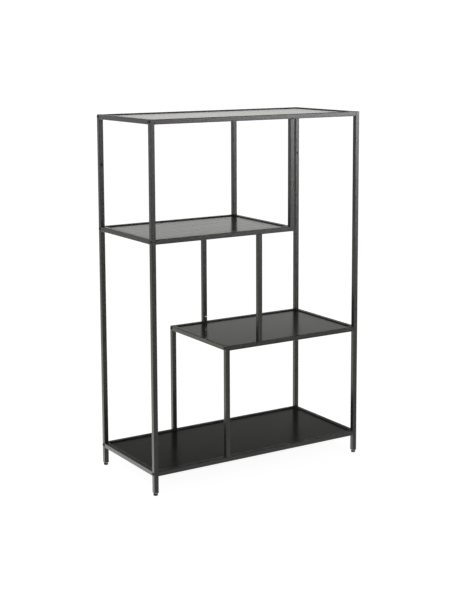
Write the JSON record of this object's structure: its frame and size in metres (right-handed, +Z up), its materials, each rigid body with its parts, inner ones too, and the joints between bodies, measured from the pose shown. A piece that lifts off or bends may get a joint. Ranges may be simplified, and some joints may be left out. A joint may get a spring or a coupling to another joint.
{
  "type": "bookcase",
  "caption": "Slim square-tube steel open bookcase with inset boards: full-width top and bottom, staggered part-width shelves between dividers, screw-levelling feet.",
  "frame": {"origin": "on the floor, under the middle of the frame", "axes": "+X to the right along the width, +Y to the back, +Z up"},
  "size_m": [0.775, 0.35, 1.14],
  "materials": {
    "black_steel": "fine-textured satin powder coat",
    "black_ash_board": "black ash-grain laminate, satin",
    "black_plastic": "moulded, matt",
    "black_bolt": "black oxide, semi-gloss",
    "zinc_steel": "bright zinc plate"
  },
  "bodies": {
    "bookcase_frame": {"post_front_left": "black_steel", "post_rear_left": "black_steel", "post_front_right": "black_steel", "post_rear_right": "black_steel", "side_rail_left_top": "black_steel", "side_rail_left_upper": "black_steel", "side_rail_left_bottom": "black_steel", "side_rail_right_top": "black_steel", "side_rail_right_lower": "black_steel", "side_rail_right_bottom": "black_steel", "rail_front_top": "black_steel", "rail_rear_top": "black_steel", "rail_front_upper": "black_steel", "rail_rear_upper": "black_steel", "rail_front_lower": "black_steel", "rail_rear_lower": "black_steel", "rail_front_bottom": "black_steel", "rail_rear_bottom": "black_steel", "upper_divider_post_front": "black_steel", "upper_divider_post_rear": "black_steel", "upper_divider_rail": "black_steel", "lower_divider_post_front": "black_steel", "lower_divider_post_rear": "black_steel", "lower_divider_rail": "black_steel", "middle_post_front": "black_steel", "middle_post_rear": "black_steel", "board_top": "black_ash_board", "board_upper": "black_ash_board", "board_lower": "black_ash_board", "board_bottom": "black_ash_board", "bolt_front_left_top": "black_bolt", "bolt_rear_left_top": "black_bolt", "bolt_front_left_upper": "black_bolt", "bolt_rear_left_upper": "black_bolt", "bolt_front_left_bottom": "black_bolt", "bolt_rear_left_bottom": "black_bolt", "bolt_front_right_top": "black_bolt", "bolt_rear_right_top": "black_bolt", "bolt_front_right_lower": "black_bolt", "bolt_rear_right_lower": "black_bolt", "bolt_front_right_bottom": "black_bolt", "bolt_rear_right_bottom": "black_bolt", "bolt_front_upper_divider_upper": "black_bolt", "bolt_rear_upper_divider_upper": "black_bolt", "bolt_front_lower_divider_lower": "black_bolt", "bolt_rear_lower_divider_lower": "black_bolt", "middle_post_stub_front": "zinc_steel", "middle_post_stub_rear": "zinc_steel", "middle_post_lock_screw_front": "zinc_steel", "middle_post_lock_screw_rear": "zinc_steel"},
    "foot_base_front_left": {"foot_pad_front_left": "black_plastic"},
    "foot_screw_front_left": {"foot_stud_front_left": "zinc_steel"},
    "foot_base_rear_left": {"foot_pad_rear_left": "black_plastic"},
    "foot_screw_rear_left": {"foot_stud_rear_left": "zinc_steel"},
    "foot_base_front_right": {"foot_pad_front_right": "black_plastic"},
    "foot_screw_front_right": {"foot_stud_front_right": "zinc_steel"},
    "foot_base_rear_right": {"foot_pad_rear_right": "black_plastic"},
    "foot_screw_rear_right": {"foot_stud_rear_right": "zinc_steel"}
  },
  "joints": [
    {"name": "foot_height_front_left", "type": "slide", "parent": "bookcase_frame", "child": "foot_base_front_left", "axis": [0, 0, 1], "range_m": [-0.008, 0]},
    {"name": "foot_turn_front_left", "type": "hinge", "parent": "foot_base_front_left", "child": "foot_screw_front_left", "pos_m": [-0.3775, -0.1675, 0.008], "axis": [0, 0, 1], "range_deg": [-2885, 5]},
    {"name": "foot_height_rear_left", "type": "slide", "parent": "bookcase_frame", "child": "foot_base_rear_left", "axis": [0, 0, 1], "range_m": [-0.008, 0]},
    {"name": "foot_turn_rear_left", "type": "hinge", "parent": "foot_base_rear_left", "child": "foot_screw_rear_left", "pos_m": [-0.3775, 0.1675, 0.008], "axis": [0, 0, 1], "range_deg": [-2885, 5]},
    {"name": "foot_height_front_right", "type": "slide", "parent": "bookcase_frame", "child": "foot_base_front_right", "axis": [0, 0, 1], "range_m": [-0.008, 0]},
    {"name": "foot_turn_front_right", "type": "hinge", "parent": "foot_base_front_right", "child": "foot_screw_front_right", "pos_m": [0.3775, -0.1675, 0.008], "axis": [0, 0, 1], "range_deg": [-2885, 5]},
    {"name": "foot_height_rear_right", "type": "slide", "parent": "bookcase_frame", "child": "foot_base_rear_right", "axis": [0, 0, 1], "range_m": [-0.008, 0]},
    {"name": "foot_turn_rear_right", "type": "hinge", "parent": "foot_base_rear_right", "child": "foot_screw_rear_right", "pos_m": [0.3775, 0.1675, 0.008], "axis": [0, 0, 1], "range_deg": [-2885, 5]}
  ],
  "couplings": [
    {"joint": "foot_turn_front_left", "follows": "foot_height_front_left", "rad_per_m": 6283.2},
    {"joint": "foot_turn_rear_left", "follows": "foot_height_rear_left", "rad_per_m": 6283.2},
    {"joint": "foot_turn_front_right", "follows": "foot_height_front_right", "rad_per_m": 6283.2},
    {"joint": "foot_turn_rear_right", "follows": "foot_height_rear_right", "rad_per_m": 6283.2}
  ]
}
